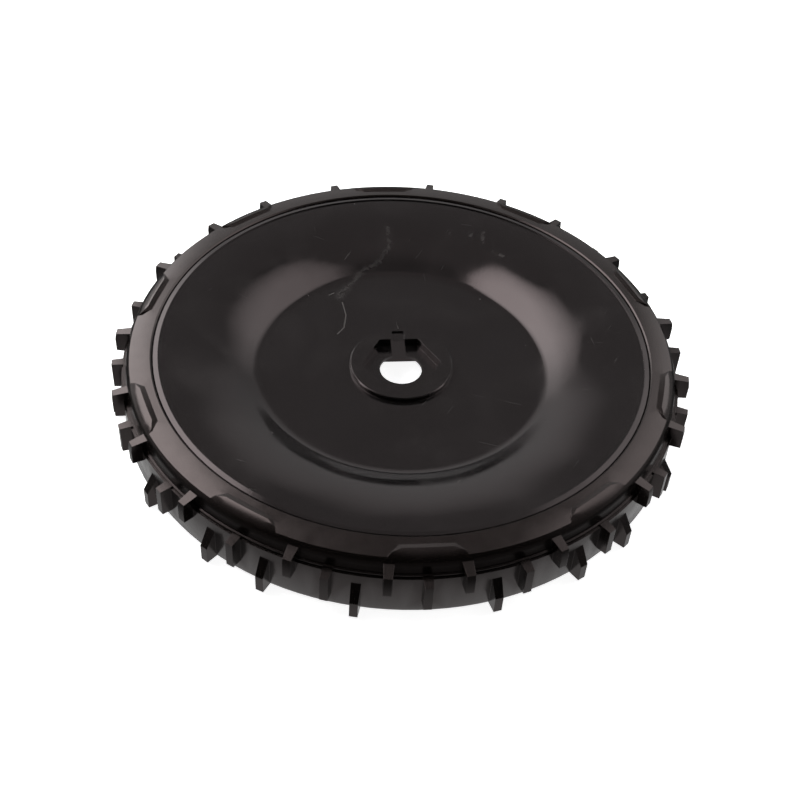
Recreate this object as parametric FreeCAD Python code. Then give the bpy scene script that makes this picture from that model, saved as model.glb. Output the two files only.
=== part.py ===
"""Drive wheel of a small robotic mower: a dished disc with a cleated tyre moulded round its rim.

The wheel lies on its back face. The axle is the Z axis, the back of the tyre is at Z = 0 and the
dished outer face looks along +Z. All sizes are in millimetres and all angles in degrees.
"""
import FreeCAD, Part
import math
import os

Vector = FreeCAD.Vector
AXLE = Vector(0, 0, 1)
CENTRE = Vector(0, 0, 0)
full_turn = 360.0
same_place = 0.001

# Overall size
overall_diameter = 205.0
lip_height = 24.0

# Tyre section, from the cleat tips inward
cleat_height = 3.7
tread_thickness = 5.4
seam_width = 5.4
seam_depth = 3.4
under_lip = 1.6
lower_edge_bevel = 2.0

# Outer shoulder of the tyre, standing a little above the lip, its rolled edge and the wall below it
seam_bevel = 0.5
shoulder_rise = 0.35
shoulder_setback = 3.1
shoulder_drop = 0.73
shoulder_crown = 0.17
shoulder_flats = 2
roll_setback = 1.8
roll_drop = 3.8
roll_crown = 0.49
roll_flats = 3
wall_foot_setback = 1.2
wall_foot_drop = 6.2
step_count = 2
step_drop = 1.1

# Raised pads on the shoulder: a sloping border towards the axle, a crowned top that ends at the rolled edge
pad_count = 10
first_pad_angle = -90.0
pad_width = 25.6
pad_margin = 2.95
pad_corner = 4.2
pad_foot_rise = 0.12
pad_border_width = 1.85
pad_crest_rise = 0.65
pad_crown = 0.25
pad_flats = 2
pad_root = 1.0

# Tread cleats: upper and lower ones in pairs beside each pad, middle ones on the centre line
cleat_root_width = 3.6
cleat_tip_width = 2.7
cleat_anchor = 3.0
cleat_draft = 0.4
upper_near_angle = 7.1
upper_far_angle = 11.3
upper_cleat_drop = 2.3
upper_cleat_fall = 0.9
upper_cleat_lean = 2.5
upper_cleat_length = 5.3
lower_near_angle = 6.0
lower_far_angle = 12.7
lower_cleat_lift = 0.9
lower_cleat_length = 6.5
lower_cleat_slant = 5.6
middle_cleat_lift = 6.5
middle_cleat_length = 10.5
middle_cleat_slant = 0.3

# Disc: lip, bowl and floor of the dish, and the barrel that carries the tyre
disc_wall = 2.6
rim_wall = 3.2
lip_land = 2.2
lip_fall = 0.25
lip_step = 0.5
dish_depth = 11.9
dish_floor_radius = 51.8
dish_floor_round = 7.0
crease_flats = 3
bowl_crown = 2.8
bowl_flats = 7
back_flats = 2
rim_corner_setback = 5.8

# Hub: raised boss with a hexagonal socket on both sides of a thin web, a bore with a keyway and a rim notch
hub_radius = 18.6
hub_rise = 1.9
hub_bevel = 0.4
hex_sides = 6
hex_across_flats = 24.8
hex_depth = 3.4
web_thickness = 0.9
bore_diameter = 15.2
keyway_width = 5.2
notch_width = 4.5
notch_depth = 0.65
notch_reach = 16.8
key_angle = 90.0

# Back of the disc: hub sleeve round the hexagon and stiffening ribs
sleeve_wall = 2.5
sleeve_lift = 2.65
rib_count = 10
rib_thickness = 1.8
rib_depth = 4.0
rib_bite = 0.8

# Radii worked out from the overall diameter inward
tip_radius = overall_diameter / 2
band_radius = tip_radius - cleat_height
rim_radius = band_radius - tread_thickness
lip_radius = rim_radius - seam_width
barrel_radius = rim_radius - disc_wall
shoulder_radius = band_radius - shoulder_setback
roll_radius = band_radius - roll_setback
wall_foot_radius = band_radius - wall_foot_setback
bore_radius = bore_diameter / 2
hex_corner_radius = hex_across_flats / 2 / math.cos(math.pi / hex_sides)
sleeve_radius = hex_corner_radius + sleeve_wall

# Heights worked out from the lip plane downward
seam_height = lip_height - seam_depth
shoulder_height = lip_height - shoulder_drop
roll_height = lip_height - roll_drop
wall_foot_height = lip_height - wall_foot_drop
floor_height = lip_height - dish_depth
back_height = floor_height - disc_wall
hub_height = floor_height + hub_rise
socket_height = hub_height - hex_depth
web_back_height = socket_height - web_thickness
clear_above = 2 * lip_height


def spot(radius, height):
    """A point of a section, in the XZ plane."""
    return Vector(radius, 0, height)


def line(start, end):
    return Part.LineSegment(start, end).toShape()


def chain(points):
    """Straight edges through the points in turn."""
    return [line(a, b) for a, b in zip(points, points[1:])]


def bowed(start, end, rise):
    """An arc from start to end whose middle stands off the chord by rise, to the left of the chord."""
    chord = end - start
    across = Vector(-chord.z, 0, chord.x).normalize()
    middle = (start + end) * 0.5 + across * rise
    return Part.ArcOfCircle(start, middle, end)


def flats(arc, count):
    """Straight edges of one length along an arc."""
    return chain(arc.toShape().discretize(count + 1))


def double_bevel(corner, size):
    """A lower outer corner broken by two equal flats, from its upright side to its bottom."""
    inset = size * (1 - math.sqrt(0.5))
    return [corner + Vector(0, 0, size), corner + Vector(-inset, 0, inset), corner - Vector(size, 0, 0)]


def turned_solid(edges, sweep=full_turn):
    """The solid that a closed section sweeps round the axle, centred on the XZ plane."""
    face = Part.Face(Part.Wire(edges))
    solid = face.revolve(CENTRE, AXLE, sweep)
    if sweep < full_turn:
        solid.rotate(CENTRE, AXLE, -sweep / 2)
    return solid


def at_angle(shape, angle):
    """A copy of the shape turned round the axle."""
    copy = shape.copy()
    copy.rotate(CENTRE, AXLE, angle)
    return copy


def swept_edges(solid, point):
    """The edges of a turned solid that one section point swept round the axle."""
    found = []
    for edge in solid.Edges:
        ends = [vertex.Point for vertex in edge.Vertexes]
        level = all(abs(end.z - point.z) < same_place for end in ends)
        if level and all(abs(math.hypot(end.x, end.y) - point.x) < same_place for end in ends):
            found.append(edge)
    return found


def plate(points, thickness):
    """A section in the XZ plane thickened evenly to both sides of it."""
    face = Part.Face(Part.Wire(chain(points + points[:1])))
    face.translate(Vector(0, -thickness / 2, 0))
    return face.extrude(Vector(0, thickness, 0))


def prism(points, bottom, top):
    """A plan outline in the XY plane raised between two heights."""
    raised = [Vector(p.x, p.y, bottom) for p in points]
    face = Part.Face(Part.Wire(chain(raised + raised[:1])))
    return face.extrude(Vector(0, 0, top - bottom))


# Tyre

def tyre_band():
    """The plain tyre: a skin wrapped round the barrel, with rolled shoulder and stepped wall foot."""
    shoulder_end = spot(shoulder_radius, shoulder_height)
    inner_edge = spot(lip_radius + seam_bevel, lip_height + shoulder_rise)
    shoulder = bowed(inner_edge, shoulder_end, shoulder_crown)
    roll = bowed(shoulder_end, spot(roll_radius, roll_height), roll_crown)
    steps = [roll.EndPoint, spot(wall_foot_radius, wall_foot_height)]
    tread = wall_foot_setback / step_count
    for index in range(step_count):
        radius = wall_foot_radius + (index + 1) * tread
        height = wall_foot_height - index * step_drop
        steps.append(spot(radius, height))
        steps.append(spot(radius, height - step_drop))
    steps.pop()
    edges = flats(shoulder, shoulder_flats) + flats(roll, roll_flats)
    edges += chain(steps + double_bevel(spot(band_radius, 0), lower_edge_bevel) + [
        spot(barrel_radius, 0),
        spot(barrel_radius, under_lip),
        spot(rim_radius, under_lip),
        spot(rim_radius, seam_height),
        spot(lip_radius, seam_height),
        spot(lip_radius, inner_edge.z - seam_bevel),
        inner_edge,
    ])
    return turned_solid(edges)


def pad_outline(inset, height):
    """Plan of a pad: flat inner end, cut corners, open at the outer edge."""
    half = pad_width / 2 - inset
    inner = lip_radius + pad_margin + inset
    corner = pad_corner - inset * (2 - math.sqrt(2))
    outer = tip_radius + pad_corner
    points = [
        Vector(outer, -half, height),
        Vector(inner + corner, -half, height),
        Vector(inner, corner - half, height),
        Vector(inner, half - corner, height),
        Vector(inner + corner, half, height),
        Vector(outer, half, height),
    ]
    return Part.Wire(chain(points + points[:1]))


def pad():
    """A raised pad: an upright root, bevelled borders above it and a crowned top that falls outward."""
    foot_height = lip_height + pad_foot_rise
    crest_height = lip_height + pad_crest_rise
    bevel_rise = crest_height - foot_height
    block = Part.makeLoft([
        pad_outline(0, shoulder_height - pad_root),
        pad_outline(0, foot_height),
        pad_outline(2 * pad_border_width, foot_height + 2 * bevel_rise),
    ], True, True)
    crest = spot(lip_radius + pad_margin + pad_border_width, crest_height)
    top = flats(bowed(crest, spot(shoulder_radius, shoulder_height), pad_crown), pad_flats)
    first, second = [vertex.Point for vertex in top[0].Vertexes]
    inner_top = first + (first - second).normalize() * 2 * pad_border_width
    root = shoulder_height - pad_root
    under_top = turned_solid([line(inner_top, first)] + top + chain([
        spot(shoulder_radius, shoulder_height),
        spot(shoulder_radius, root),
        spot(inner_top.x, root),
        inner_top,
    ]), full_turn / pad_count)
    return block.common(under_top)


def cleat(profile):
    """A tread block: a radial profile, narrowing from root to tip."""
    root = band_radius - cleat_anchor
    lowest = min(point.z for point in profile)
    highest = max(point.z for point in profile)
    plan = prism([
        Vector(root, -cleat_root_width / 2),
        Vector(tip_radius, -cleat_tip_width / 2),
        Vector(tip_radius, cleat_tip_width / 2),
        Vector(root, cleat_root_width / 2),
    ], lowest, highest)
    return plan.common(plate(profile, cleat_root_width))


def upper_cleat():
    """A block that springs from the rolled edge: its top falls outward and its tip leans back, then stands."""
    root_top = lip_height - upper_cleat_drop
    tip_top = root_top - upper_cleat_fall
    lean_foot = tip_top - upper_cleat_lean
    bottom = lean_foot - upper_cleat_length
    root = band_radius - cleat_anchor
    return cleat([
        spot(root, bottom),
        spot(tip_radius, bottom),
        spot(tip_radius, lean_foot),
        spot(tip_radius - cleat_draft, tip_top),
        spot(root, root_top),
    ])


def slanted_cleat(lift, length, slant):
    """A block whose upper end slants from its tip into the band."""
    tip_top = lift + length
    root = band_radius - cleat_anchor
    return cleat([
        spot(root, lift),
        spot(tip_radius, lift),
        spot(tip_radius, tip_top),
        spot(band_radius, tip_top + slant),
        spot(root, tip_top + slant),
    ])


def tyre():
    """The tyre with its pads and its three rows of cleats."""
    pitch = full_turn / pad_count
    shoulder_pad = pad()
    upper = upper_cleat()
    lower = slanted_cleat(lower_cleat_lift, lower_cleat_length, lower_cleat_slant)
    middle = slanted_cleat(middle_cleat_lift, middle_cleat_length, middle_cleat_slant)
    blocks = []
    for index in range(pad_count):
        centre = first_pad_angle + index * pitch
        is_even = index % 2 == 0
        upper_spread = upper_near_angle if is_even else upper_far_angle
        lower_spread = lower_far_angle if is_even else lower_near_angle
        blocks.append(at_angle(shoulder_pad, centre))
        for side in (-1, 1):
            blocks.append(at_angle(upper, centre + side * upper_spread))
            blocks.append(at_angle(lower, centre + side * lower_spread))
        blocks.append(at_angle(middle, centre))
        blocks.append(at_angle(middle, centre + pitch / 2))
    return tyre_band().fuse(blocks).removeSplitter()


# Disc

def bowl_arc():
    """Section of the bowl's face: steep at the floor's edge, flattening towards the lip."""
    foot = spot(dish_floor_radius, floor_height)
    return bowed(foot, spot(lip_radius - lip_land, lip_height - lip_step), bowl_crown)


def back_line():
    """The back of the disc from the hub outward: flat, then along the bowl in flats, then to the barrel."""
    bowl = bowl_arc()
    corner_radius = barrel_radius - rim_corner_setback
    rise = math.sqrt(bowl.Radius ** 2 - (corner_radius - bowl.Center.x) ** 2)
    corner = spot(corner_radius, bowl.Center.z + rise - rim_wall)
    bend = bowed(spot(dish_floor_radius, back_height), corner, bowl_crown)
    return bend.toShape().discretize(back_flats + 1) + [spot(barrel_radius, seam_height - rim_wall)]


def crease(foot, head):
    """A rounding, in flats, from the level floor into the face that rises from foot to head."""
    along = (head - foot).normalize()
    half_turn = math.atan2(along.z, along.x) / 2
    run = dish_floor_round * math.tan(half_turn)
    sag = dish_floor_round * (1 - math.cos(half_turn))
    return flats(bowed(foot - Vector(run, 0, 0), foot + along * run, -sag), crease_flats)


def disc_shell():
    """The dish, the lip and the barrel, turned from one section."""
    bowl = flats(bowl_arc(), bowl_flats)
    foot, head = [vertex.Point for vertex in bowl[0].Vertexes]
    rounding = crease(foot, head)
    edges = chain([
        spot(0, back_height),
        spot(0, hub_height),
        spot(hub_radius, hub_height),
        spot(hub_radius, floor_height),
        rounding[0].Vertexes[0].Point,
    ])
    edges += rounding + [line(rounding[-1].Vertexes[-1].Point, head)] + bowl[1:]
    edges += chain([
        bowl[-1].Vertexes[-1].Point,
        spot(lip_radius - lip_land, lip_height),
        spot(lip_radius - seam_bevel, lip_height - lip_fall),
        spot(lip_radius, lip_height - lip_fall - seam_bevel),
        spot(lip_radius, seam_height),
        spot(rim_radius, seam_height),
        spot(rim_radius, under_lip),
        spot(barrel_radius, under_lip),
    ] + back_line()[::-1] + [spot(0, back_height)])
    shell = turned_solid(edges)
    return shell.makeChamfer(hub_bevel, swept_edges(shell, spot(hub_radius, hub_height)))


def hub_sleeve():
    """The round sleeve behind the boss, still solid, that the back hexagon is cut into."""
    return Part.makeCylinder(sleeve_radius, floor_height - sleeve_lift, Vector(0, 0, sleeve_lift))


def back_rib():
    """A low radial web that follows the back of the disc from the sleeve to the barrel."""
    along = back_line()
    crest = [spot(sleeve_radius - rib_bite, back_height)] + along[:-1] + [along[-1] + Vector(rib_bite, 0, 0)]
    sunk = [point + Vector(0, 0, rib_bite) for point in crest]
    lower = [point - Vector(0, 0, rib_depth) for point in crest]
    return plate(lower + sunk[::-1], rib_thickness)


def hub_socket():
    """What the hub loses: a hexagon on each side of the web, the bore, its keyway and the rim notch."""
    corner = Part.Vertex(hex_corner_radius, 0, 0)
    corners = [at_angle(corner, index * full_turn / hex_sides).Point for index in range(hex_sides)]
    front_hexagon = prism(corners, socket_height, clear_above)
    back_hexagon = prism(corners, 0, web_back_height)
    bore = Part.makeCylinder(bore_radius, clear_above)
    keyway = Part.makeBox(hex_across_flats / 2, keyway_width, clear_above, Vector(0, -keyway_width / 2, 0))
    notch_foot = Vector(0, -notch_width / 2, hub_height - notch_depth)
    notch = Part.makeBox(notch_reach, notch_width, clear_above, notch_foot)
    keyed = [at_angle(keyway, key_angle), at_angle(notch, key_angle)]
    return front_hexagon.fuse([back_hexagon, bore] + keyed)


def wheel_disc():
    """The one-piece disc with its boss, sleeve and ribs."""
    ribs = [at_angle(back_rib(), index * full_turn / rib_count) for index in range(rib_count)]
    solid = disc_shell().fuse([hub_sleeve()] + ribs)
    return solid.cut(hub_socket()).removeSplitter()


os.makedirs("parts", exist_ok=True)
wheel_disc().exportStep("parts/wheel_disc.step")
tyre().exportStep("parts/tyre.step")
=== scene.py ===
"""Looks of the robotic mower wheel: materials, table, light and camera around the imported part."""

import math

import bpy
from mathutils import Matrix, Vector

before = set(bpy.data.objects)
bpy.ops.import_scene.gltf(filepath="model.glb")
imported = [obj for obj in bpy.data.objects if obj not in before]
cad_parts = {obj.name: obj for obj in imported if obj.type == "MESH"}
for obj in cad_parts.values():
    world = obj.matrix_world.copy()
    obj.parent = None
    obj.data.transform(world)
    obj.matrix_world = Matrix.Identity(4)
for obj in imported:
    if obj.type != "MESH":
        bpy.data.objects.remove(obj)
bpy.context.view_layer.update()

# Camera, fitted to the photograph and aimed at the middle of the lip
lens_mm = 57.15
sensor_mm = 36.0
camera_distance = 0.45159
camera_azimuth = -7.3
camera_elevation = 42.18
camera_roll = 3.79
camera_shift_x = -0.0033
camera_shift_y = -0.0728
camera_clip_start = 0.01
lip_centre = Vector((0, 0, 0.024))

# Table: white to the camera, bright to the wheel only close round it
table_size = 4.0
table_gap = 0.0002
table_white = 0.85
table_roughness = 0.8
table_glow = 0.9
table_near_glow = 0.6
table_far_glow = 0.08
glow_start = 0.105
glow_end = 0.122

# Side panels of the studio: radiance and place, then the brightness by share of the way back and up
left_panel = {"radiance": 4.9, "aside": 0.26, "front": -0.12, "back": 0.57, "low": 0.12, "high": 0.98}
right_panel = {"radiance": 2.0, "aside": 0.33, "front": -0.12, "back": 0.70, "low": 0.13, "high": 1.12}
panel_along = [(0, 0), (0.16, 1), (0.5, 1), (0.65, 0.8), (0.83, 0.42), (1, 0.2)]
panel_upward = [(0.57, 1), (0.79, 0.7), (1, 0)]

# World: a backdrop between the panels, a dim top and a dark front, as radiance
backdrop_left = 1.12
backdrop_right = 0.24
backdrop_reach = 0.4
backdrop_height = [(0, 0.7), (0.35, 1), (0.53, 0.95), (0.73, 0.6), (0.95, 0)]
top_levels = [(0, 0.03), (0.2, 0.04), (0.4, 0.22), (0.5, 0.38), (0.75, 0.34)]
least_ahead = 0.001
backdrop_seen = 1.0

# Edges: faces that meet below the crease angle are shaded as one, the others look slightly rounded
weld_distance = 1e-6
crease_angle = math.radians(24)
disc_edge_radius = 0.00025
tyre_edge_radius = 0.0002
bevel_samples = 4

# Disc plastic: scales are per metre, depths and radii in metres, weights from 0 to 1
disc_black = (0.0055, 0.005, 0.005, 1)
disc_worn = (0.16, 0.15, 0.145, 1)
disc_tint = (1.0, 0.83, 0.83, 1)
disc_gloss_scale = 160
disc_gloss_range = (0.07, 0.14)
disc_haze = 0.16
disc_film_scale = 30
smear_break_scale = 420
dust_scale = 150
dust_radius = 0.0003
dust_share = 0.16
scratch_weight = 0.5
smear_weight = 0.2
hairline_weight = 0.12
film_weight = 0.03
dust_weight = 0.8
warp_scale = 24
warp_depth = 0.0014
disc_grain_scale = 1100
disc_grain_depth = 0.000008
hub_ring_rate = 9000
hub_ring_depth = 0.000004
hub_ring_end = 0.0183
hub_ring_fade = 0.0185

# Wear on the dish: each mark is a line of points, mm, and its half width, m
dish_scratches = [
    ([(-19.5, 35.9), (-18.5, 28.6), (-19.6, 21.5), (-22.2, 18.0)], 0.00035),
    ([(-24.4, 40.4), (-22.5, 41.6)], 0.0003),
]
dish_smears = [
    ([(-0.1, 70.5), (0.5, 62.8), (-3.8, 56.7), (-11.9, 52.2), (-17.7, 44.4)], 0.0016),
    ([(-17.7, 44.4), (-20.5, 39.5)], 0.0028),
    ([(23.9, 64.1), (25.0, 67.3)], 0.0012),
    ([(32.1, 62.1), (32.9, 65.9)], 0.0012),
    ([(36.6, 60.4), (37.9, 64.8)], 0.0014),
    ([(40.3, 54.9), (43.9, 52.3)], 0.0012),
]

# Hairlines: their turn in degrees, length and pitch in metres, and the share they cover
dish_hairlines = [(20, 0.02, 0.0011, 0.5), (-52, 0.016, 0.0012, 0.5), (84, 0.022, 0.0010, 0.5)]
tyre_hairlines = (65, 0.03, 0.0009, 0.5)
hairline_patch_scale = 26

# Tyre rubber, in the same units as the plastic
tyre_black = (0.0035, 0.0026, 0.0022, 1)
tyre_worn = (0.16, 0.14, 0.13, 1)
tyre_tint = (1.0, 0.82, 0.80, 1)
tyre_gloss_scale = 220
tyre_gloss_range = (0.16, 0.24)
tyre_haze = 0.05
tyre_film_scale = 70
tyre_film_weight = 0.008
tyre_hairline_weight = 0.02
tyre_grain_scale = 1300
tyre_grain_depth = 0.00001


def direction(azimuth, elevation):
    """Unit vector from the wheel towards a place: azimuth 0 is in front of it, 90 to its right."""
    a = math.radians(azimuth)
    e = math.radians(elevation)
    return Vector((math.sin(a) * math.cos(e), -math.cos(a) * math.cos(e), math.sin(e)))


def add_camera():
    data = bpy.data.cameras.new("camera")
    data.sensor_width = sensor_mm
    data.lens = lens_mm
    data.shift_x = camera_shift_x
    data.shift_y = camera_shift_y
    data.clip_start = camera_clip_start
    camera = bpy.data.objects.new("camera", data)
    bpy.context.collection.objects.link(camera)
    back = direction(camera_azimuth, camera_elevation)
    right = Vector((0, 0, 1)).cross(back).normalized()
    up = back.cross(right)
    turn = Matrix((right, up, back)).transposed()
    roll = Matrix.Rotation(math.radians(camera_roll), 3, "Z")
    place = Matrix.Translation(lip_centre + back * camera_distance)
    camera.matrix_world = place @ (turn @ roll).to_4x4()
    bpy.context.scene.camera = camera


# Shader nodes

def set_inputs(tree, node, inputs):
    """Gives each named input of a node a value, or links it to a socket."""
    for name, value in inputs.items():
        if isinstance(value, bpy.types.NodeSocket):
            tree.links.new(value, node.inputs[name])
        else:
            node.inputs[name].default_value = value


def add_node(tree, kind, inputs=None, **settings):
    made = tree.nodes.new(kind)
    for name, value in settings.items():
        setattr(made, name, value)
    set_inputs(tree, made, inputs or {})
    return made


def new_material(name):
    material = bpy.data.materials.new(name)
    material.use_nodes = True
    tree = material.node_tree
    return material, tree, tree.nodes["Principled BSDF"]


def show(tree, shader):
    """Makes a shader the surface of its material."""
    tree.links.new(shader, tree.nodes["Material Output"].inputs["Surface"])


def maths(tree, operation, first, second):
    made = add_node(tree, "ShaderNodeMath", {0: first, 1: second}, operation=operation)
    return made.outputs["Value"]


def vector_maths(tree, operation, inputs, output="Vector"):
    return add_node(tree, "ShaderNodeVectorMath", inputs, operation=operation).outputs[output]


def between(tree, value, low, high, to_low=0.0, to_high=1.0):
    """The value, carried from the range low to high to another range and held at its ends."""
    return add_node(tree, "ShaderNodeMapRange", {
        "Value": value,
        "From Min": low,
        "From Max": high,
        "To Min": to_low,
        "To Max": to_high,
    }).outputs["Result"]


def ramp(tree, value, low, high, stops):
    """A brightness that follows a value: each stop is a share of the way to high and a brightness."""
    made = add_node(tree, "ShaderNodeValToRGB", {"Fac": between(tree, value, low, high)})
    elements = made.color_ramp.elements
    while len(elements) < len(stops):
        elements.new(1.0)
    for element, (share, level) in zip(elements, stops):
        element.position = share
        element.color = (level, level, level, 1)
    return made.outputs["Color"]


def noise(tree, place, scale, detail, distortion=0.0):
    return add_node(tree, "ShaderNodeTexNoise", {
        "Vector": place,
        "Scale": scale,
        "Detail": detail,
        "Distortion": distortion,
    }).outputs["Fac"]


def bump(tree, height, depth, normal):
    return add_node(tree, "ShaderNodeBump", {
        "Height": height,
        "Strength": 1.0,
        "Distance": depth,
        "Normal": normal,
    }).outputs["Normal"]


def rounded(tree, radius):
    made = add_node(tree, "ShaderNodeBevel", {"Radius": radius}, samples=bevel_samples)
    return made.outputs["Normal"]


def blend(tree, factor, first, second):
    made = add_node(tree, "ShaderNodeMix", {"Factor": factor}, data_type="RGBA")
    made.inputs[6].default_value = first
    made.inputs[7].default_value = second
    return made.outputs[2]


def strongest(tree, marks):
    best = marks[0]
    for mark in marks[1:]:
        best = maths(tree, "MAXIMUM", best, mark)
    return best


# Wear

def hairlines(tree, place, turn, length, pitch, cover):
    """Fine straight scratches all in one direction, in patches."""
    turned = add_node(tree, "ShaderNodeVectorRotate", {
        "Vector": place, "Angle": math.radians(turn)}, rotation_type="Z_AXIS").outputs["Vector"]
    drawn = vector_maths(tree, "MULTIPLY", {0: turned, 1: (1 / length, 1 / pitch, 1 / length)})
    lines = between(tree, noise(tree, drawn, 1.0, 2), 0.69, 0.77)
    spread = noise(tree, place, hairline_patch_scale + turn / 20, 2)
    return maths(tree, "MULTIPLY", lines, between(tree, spread, 1 - cover, 1.1 - cover))


def stroke(tree, flat, points, width):
    """A single mark along a line of points on the dish, strongest at its middle."""
    marks = []
    for start, end in zip(points, points[1:]):
        a = Vector((start[0], start[1], 0)) / 1000
        ab = Vector((end[0], end[1], 0)) / 1000 - a
        reach = vector_maths(tree, "SUBTRACT", {0: flat, 1: a})
        along = vector_maths(tree, "DOT_PRODUCT", {0: reach, 1: ab / ab.length_squared}, "Value")
        foot = vector_maths(tree, "SCALE", {0: ab, "Scale": between(tree, along, 0, 1)})
        off = vector_maths(tree, "DISTANCE", {0: reach, 1: foot}, "Value")
        marks.append(between(tree, off, 0, width, 1, 0))
    return strongest(tree, marks)


def specks(tree, place, scale, radius, share):
    """Scattered dots of dust."""
    cells = add_node(tree, "ShaderNodeTexVoronoi", {"Vector": place, "Scale": scale})
    chosen = add_node(tree, "ShaderNodeSeparateXYZ", {"Vector": cells.outputs["Color"]}).outputs["X"]
    dots = between(tree, cells.outputs["Distance"], radius * scale, 0.5 * radius * scale)
    return maths(tree, "MULTIPLY", dots, maths(tree, "LESS_THAN", chosen, share))


# Materials

def plastic():
    """Glossy black moulding: slight warp, grain, rings on the hub, smears, scratches and dust."""
    material, tree, shader = new_material("disc_plastic")
    place = add_node(tree, "ShaderNodeTexCoord").outputs["Object"]
    flat = vector_maths(tree, "MULTIPLY", {0: place, 1: (1, 1, 0)})
    radius = vector_maths(tree, "LENGTH", {0: flat}, "Value")

    marks = strongest(tree, [stroke(tree, flat, *mark) for mark in dish_scratches])
    rubbed = strongest(tree, [stroke(tree, flat, *mark) for mark in dish_smears])
    broken = between(tree, noise(tree, place, smear_break_scale, 6, 0.6), 0.35, 0.68)
    hair = strongest(tree, [hairlines(tree, place, *lines) for lines in dish_hairlines])
    smear = maths(tree, "MULTIPLY", rubbed, broken)
    film = between(tree, noise(tree, place, disc_film_scale, 8, 1.2), 0.5, 0.8)
    dust = specks(tree, place, dust_scale, dust_radius, dust_share)
    wear = strongest(tree, [maths(tree, "MULTIPLY", mark, weight) for mark, weight in (
        (marks, scratch_weight),
        (smear, smear_weight),
        (hair, hairline_weight),
        (film, film_weight),
        (dust, dust_weight),
    )])
    gloss = between(tree, noise(tree, place, disc_gloss_scale, 6), 0.3, 0.7, *disc_gloss_range)
    haze = maths(tree, "MULTIPLY", strongest(tree, [smear, hair, film]), disc_haze)

    rings = maths(tree, "SINE", maths(tree, "MULTIPLY", radius, hub_ring_rate), 0)
    on_hub = between(tree, radius, hub_ring_end, hub_ring_fade, 1, 0)
    soft = rounded(tree, disc_edge_radius)
    warped = bump(tree, noise(tree, place, warp_scale, 1), warp_depth, soft)
    grained = bump(tree, noise(tree, place, disc_grain_scale, 3), disc_grain_depth, warped)
    turned = bump(tree, maths(tree, "MULTIPLY", rings, on_hub), hub_ring_depth, grained)
    set_inputs(tree, shader, {
        "Base Color": blend(tree, wear, disc_black, disc_worn),
        "Roughness": maths(tree, "ADD", gloss, haze),
        "Specular Tint": disc_tint,
        "Normal": turned,
    })
    return material


def rubber():
    """Satin black rubber: mould grain, faint dusty patches and scuffed fine lines."""
    material, tree, shader = new_material("tyre_rubber")
    place = add_node(tree, "ShaderNodeTexCoord").outputs["Object"]
    film = between(tree, noise(tree, place, tyre_film_scale, 6, 0.8), 0.45, 0.75)
    hair = hairlines(tree, place, *tyre_hairlines)
    dusty = maths(tree, "MULTIPLY", film, tyre_film_weight)
    scuffed = maths(tree, "MULTIPLY", hair, tyre_hairline_weight)
    wear = maths(tree, "ADD", dusty, scuffed)
    gloss = between(tree, noise(tree, place, tyre_gloss_scale, 6), 0.3, 0.7, *tyre_gloss_range)
    haze = maths(tree, "MULTIPLY", film, tyre_haze)
    soft = rounded(tree, tyre_edge_radius)
    set_inputs(tree, shader, {
        "Base Color": blend(tree, wear, tyre_black, tyre_worn),
        "Roughness": maths(tree, "ADD", gloss, haze),
        "Specular Tint": tyre_tint,
        "Normal": bump(tree, noise(tree, place, tyre_grain_scale, 4), tyre_grain_depth, soft),
    })
    return material


def dress(node, material):
    """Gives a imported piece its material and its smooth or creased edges."""
    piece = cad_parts[node]
    piece.data.materials.clear()
    piece.data.materials.append(material)
    piece.data.polygons.foreach_set("use_smooth", [True] * len(piece.data.polygons))
    weld = piece.modifiers.new("weld", "WELD")
    weld.merge_threshold = weld_distance
    split = piece.modifiers.new("crease", "EDGE_SPLIT")
    split.split_angle = crease_angle


# Stage

def add_table():
    bpy.ops.mesh.primitive_plane_add(size=table_size, location=(0, 0, -table_gap))
    table = bpy.context.object
    table.name = "table"
    material, tree, shader = new_material("table_white")
    material.cycles.emission_sampling = "NONE"
    set_inputs(tree, shader, {
        "Base Color": (table_white, table_white, table_white, 1),
        "Roughness": table_roughness,
        "Specular IOR Level": 0.0,
        "Emission Color": (1, 1, 1, 1),
        "Emission Strength": table_glow,
    })
    place = add_node(tree, "ShaderNodeTexCoord").outputs["Object"]
    distance = vector_maths(tree, "LENGTH", {0: place}, "Value")
    glow = between(tree, distance, glow_start, glow_end, table_near_glow, table_far_glow)
    seen_by_wheel = add_node(tree, "ShaderNodeEmission", {"Strength": glow})
    path = add_node(tree, "ShaderNodeLightPath")
    mix = add_node(tree, "ShaderNodeMixShader", {
        0: path.outputs["Is Camera Ray"],
        1: seen_by_wheel.outputs["Emission"],
        2: shader.outputs["BSDF"],
    })
    show(tree, mix.outputs["Shader"])
    table.data.materials.append(material)


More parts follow.
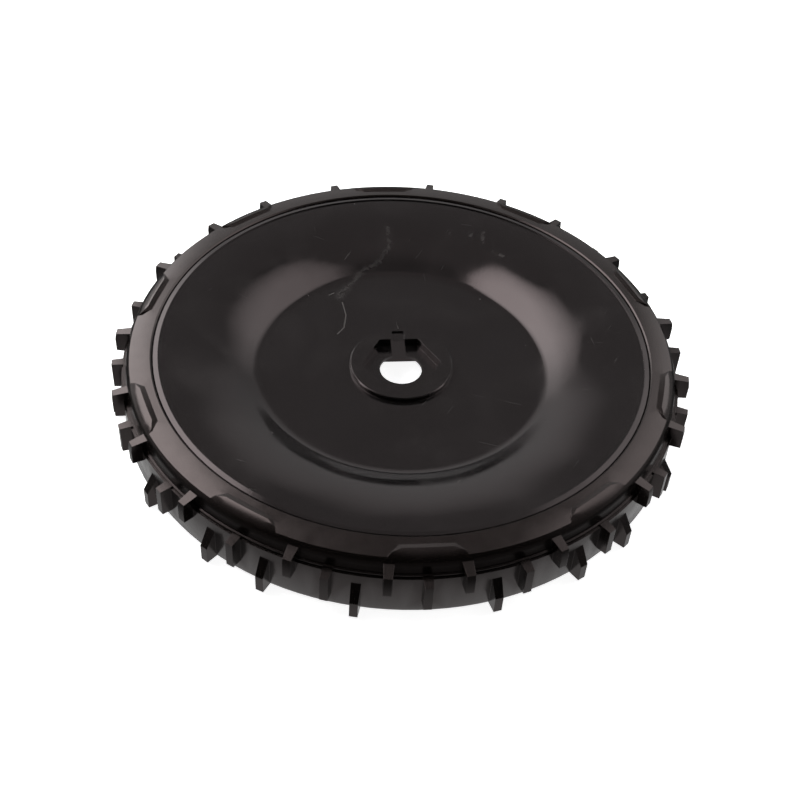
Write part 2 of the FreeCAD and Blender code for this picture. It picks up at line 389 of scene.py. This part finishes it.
def add_panel(name, side, panel):
    """A lit wall of the studio beside the wheel, dimmer towards its back and upper edges."""
    away = -direction(camera_azimuth, 0)
    outward = side * Vector((0, 0, 1)).cross(-away)
    corners = [
        outward * panel["aside"] + away * panel[end] + Vector((0, 0, panel[level]))
        for end, level in (("front", "low"), ("back", "low"), ("back", "high"), ("front", "high"))
    ]
    mesh = bpy.data.meshes.new(name)
    mesh.from_pydata(corners, [], [(0, 1, 2, 3)])
    material = bpy.data.materials.new(name)
    material.use_nodes = True
    material.cycles.emission_sampling = "NONE"
    tree = material.node_tree
    spot = add_node(tree, "ShaderNodeNewGeometry").outputs["Position"]
    depth = vector_maths(tree, "DOT_PRODUCT", {0: spot, 1: away}, "Value")
    rise = add_node(tree, "ShaderNodeSeparateXYZ", {"Vector": spot}).outputs["Z"]
    along = ramp(tree, depth, panel["front"], panel["back"], panel_along)
    upward = ramp(tree, rise, 0, panel["high"], panel_upward)
    strength = maths(tree, "MULTIPLY", maths(tree, "MULTIPLY", along, upward), panel["radiance"])
    glow = add_node(tree, "ShaderNodeEmission", {"Strength": strength})
    show(tree, glow.outputs["Emission"])
    mesh.materials.append(material)
    made = bpy.data.objects.new(name, mesh)
    bpy.context.collection.objects.link(made)
    made.visible_camera = False


def add_world():
    """The studio round the camera's line of sight: x to its right, y away from it, z up."""
    world = bpy.data.worlds.new("studio")
    bpy.context.scene.world = world
    world.use_nodes = True
    tree = world.node_tree
    towards = add_node(tree, "ShaderNodeTexCoord").outputs["Generated"]
    turned = add_node(tree, "ShaderNodeVectorRotate", {
        "Vector": towards, "Angle": math.radians(-camera_azimuth)}, rotation_type="Z_AXIS")
    split = add_node(tree, "ShaderNodeSeparateXYZ", {"Vector": turned.outputs["Vector"]})
    x, y, z = [split.outputs[name] for name in "XYZ"]
    ahead = maths(tree, "MAXIMUM", y, least_ahead)

    height = ramp(tree, maths(tree, "DIVIDE", z, ahead), 0, 1, backdrop_height)
    aside = maths(tree, "DIVIDE", x, ahead)
    slope = between(tree, aside, -1, 1, backdrop_left, backdrop_right)
    reach = between(tree, y, 0, backdrop_reach)
    behind = maths(tree, "MULTIPLY", maths(tree, "MULTIPLY", height, slope), reach)

    glow = maths(tree, "MAXIMUM", behind, ramp(tree, y, -1, 1, top_levels))
    path = add_node(tree, "ShaderNodeLightPath")
    seen = add_node(tree, "ShaderNodeMix", {
        "Factor": path.outputs["Is Camera Ray"], "A": glow, "B": backdrop_seen})
    set_inputs(tree, tree.nodes["Background"], {
        "Color": (1, 1, 1, 1), "Strength": seen.outputs["Result"]})


dress("wheel_disc", plastic())
dress("tyre", rubber())
add_table()
add_panel("left_panel", -1, left_panel)
add_panel("right_panel", 1, right_panel)
add_world()
add_camera()
bpy.context.scene.view_settings.view_transform = "Standard"
